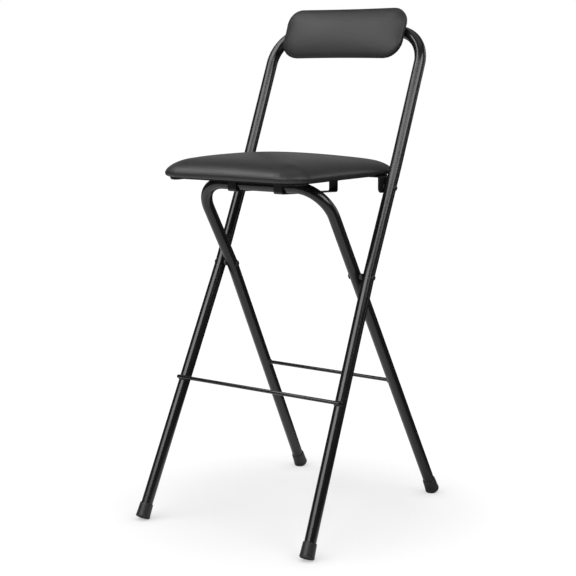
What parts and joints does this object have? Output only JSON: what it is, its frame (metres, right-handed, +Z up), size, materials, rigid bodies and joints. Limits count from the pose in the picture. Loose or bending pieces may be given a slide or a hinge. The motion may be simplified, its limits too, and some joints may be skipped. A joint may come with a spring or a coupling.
{
  "type": "folding bar stool",
  "caption": "Tall folding stool: crossed round-tube hoop frames, padded seat that swings up between the uprights, small padded backrest, footrest rods and rubber-capped feet.",
  "frame": {"origin": "on the floor, in the middle of the stool's box when it stands open", "axes": "+Z up, -Y out of the front of the seat, +X to the left of a person who sits on it"},
  "size_m": [0.4686, 0.5715, 1.0955],
  "materials": {
    "tube_paint": "gloss black powder coat",
    "steel_black": "satin black coat on pressed steel and fasteners",
    "vinyl": "soft black vinyl with a fine grain",
    "rubber": "matt black moulded rubber",
    "board": "dark sealed plywood",
    "back_panel": "black vinyl-faced fibreboard",
    "nylon": "black nylon"
  },
  "bodies": {
    "main_frame": {"backrest_back_panel": "back_panel", "backrest_board": "board", "backrest_cushion": "vinyl", "backrest_screw_left": "steel_black", "backrest_screw_right": "steel_black", "front_foot_cap_left": "rubber", "front_foot_cap_right": "rubber", "front_footrest_rod": "tube_paint", "main_frame_tube": "tube_paint", "pivot_rivet_left": "steel_black", "pivot_rivet_right": "steel_black", "pivot_spacer_left": "nylon", "pivot_spacer_right": "nylon", "pivot_washer_left": "steel_black", "pivot_washer_right": "steel_black", "seat_pivot_rivet_left": "steel_black", "seat_pivot_rivet_right": "steel_black", "seat_pivot_washer_left": "nylon", "seat_pivot_washer_right": "nylon"},
    "rear_frame": {"rear_foot_cap_left": "rubber", "rear_foot_cap_right": "rubber", "rear_footrest_rod": "tube_paint", "rear_frame_tube": "tube_paint"},
    "seat": {"bracket_screw_inner_left": "steel_black", "bracket_screw_inner_right": "steel_black", "bracket_screw_outer_left": "steel_black", "bracket_screw_outer_right": "steel_black", "guide_bar_screw_front_left": "steel_black", "guide_bar_screw_front_right": "steel_black", "guide_bar_screw_rear_left": "steel_black", "guide_bar_screw_rear_right": "steel_black", "seat_board": "board", "seat_cross_bracket": "steel_black", "seat_cushion": "vinyl", "seat_guide_bar_left": "steel_black", "seat_guide_bar_right": "steel_black"}
  },
  "joints": [
    {"name": "rear_frame_fold", "type": "hinge", "parent": "main_frame", "child": "rear_frame", "pos_m": [0, -0.02201, 0.538], "axis": [-1, 0, 0], "range_deg": [0, 53]},
    {"name": "seat_fold", "type": "hinge", "parent": "main_frame", "child": "seat", "pos_m": [0, 0.05996, 0.71897], "axis": [-1, 0, 0], "range_deg": [0, 86]}
  ],
  "couplings": [
    {"joint": "seat_fold", "follows": "rear_frame_fold", "ratio": 1.62}
  ]
}
